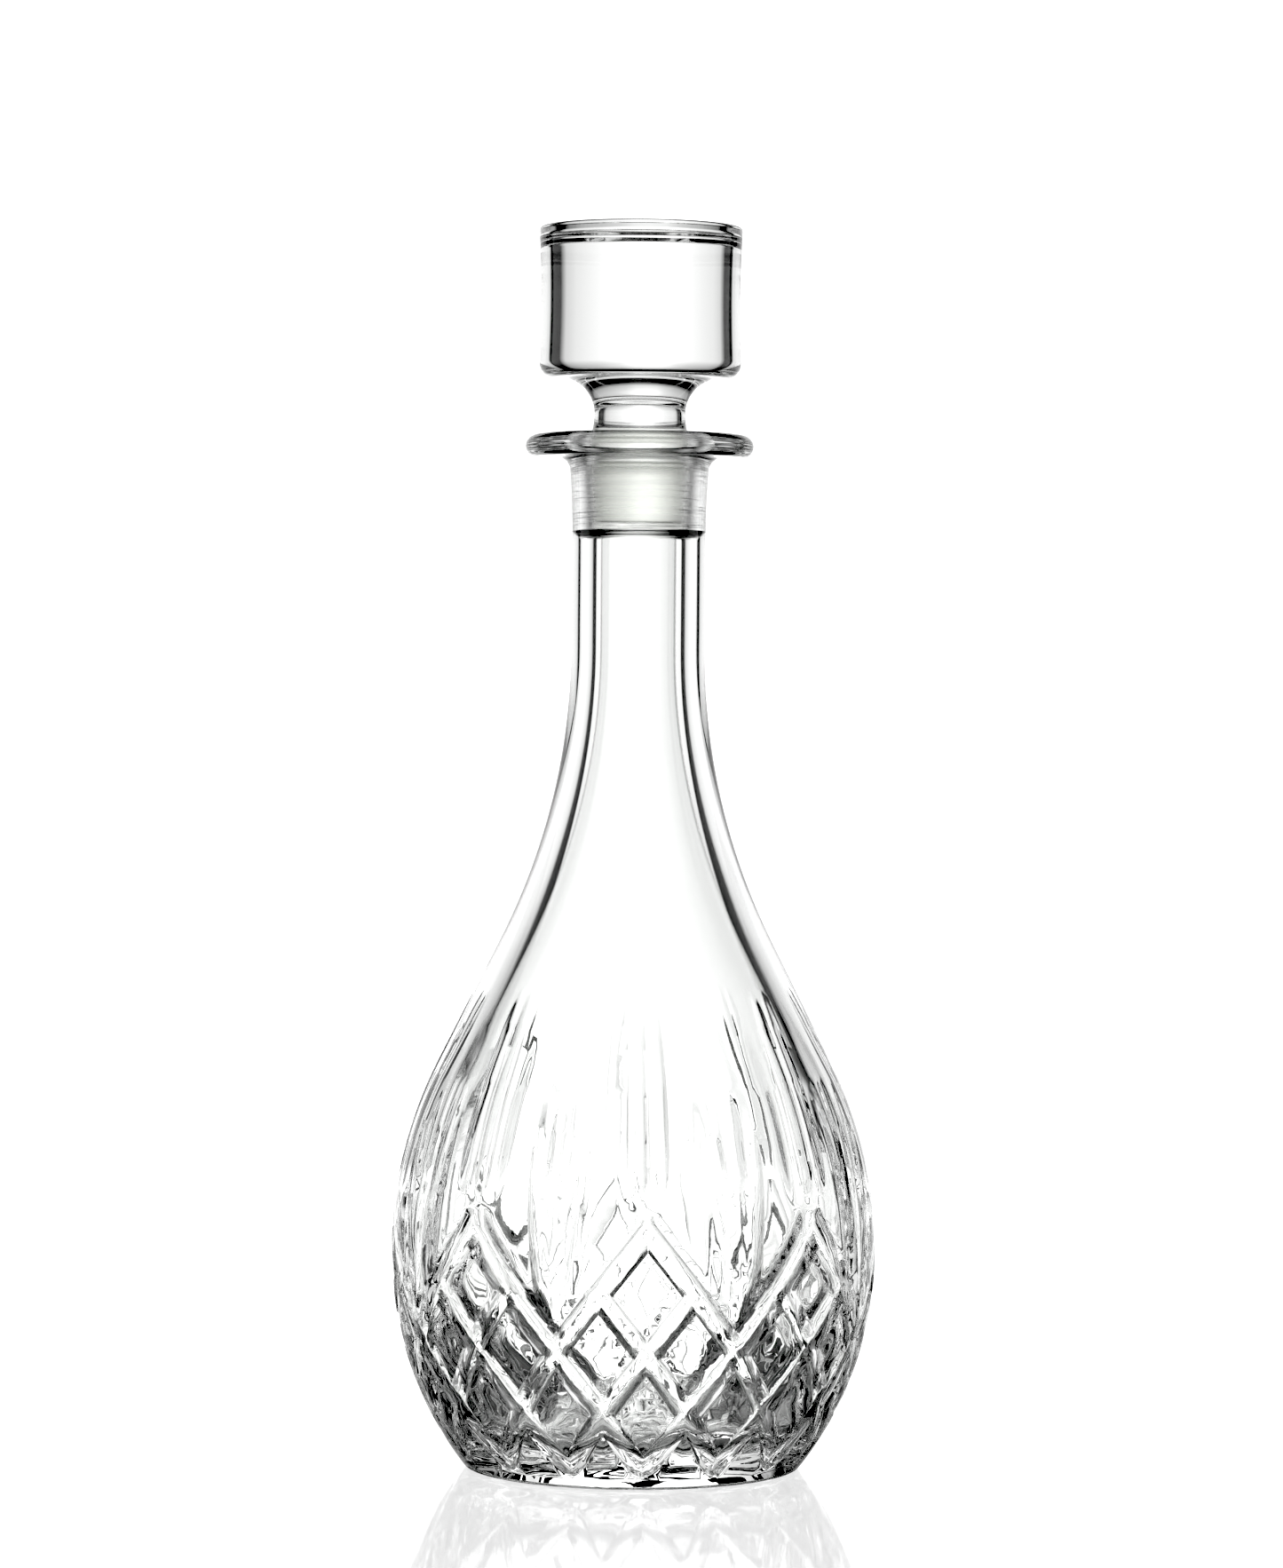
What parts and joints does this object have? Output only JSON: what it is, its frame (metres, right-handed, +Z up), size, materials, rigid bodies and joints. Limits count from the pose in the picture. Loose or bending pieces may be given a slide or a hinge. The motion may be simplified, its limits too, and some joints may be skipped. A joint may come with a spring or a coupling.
{
  "type": "cut crystal decanter",
  "caption": "Pear-shaped cut crystal decanter with a long plain neck, a flat round lip and a solid drum stopper with a ground plug that lifts out.",
  "frame": {"origin": "centre of the foot, on the plane that the bottle stands on", "axes": "+Z up the axis to the stopper; the middle arch of the cuts faces -Y, turned 3.4 degrees towards +X"},
  "size_m": [0.125, 0.125, 0.32],
  "materials": {
    "crystal": "clear, fire-polished, with round-rimmed lattice and leaf cuts; the seat in the neck is ground matt",
    "stopper_crystal": "clear and polished, with the plug ground matt"
  },
  "bodies": {
    "bottle": {"bottle": "crystal"},
    "stopper": {"stopper": "stopper_crystal"}
  },
  "joints": [
    {"name": "stopper_lift", "type": "slide", "parent": "bottle", "child": "stopper", "axis": [0, 0, 1], "range_m": [0, 0.1]}
  ]
}
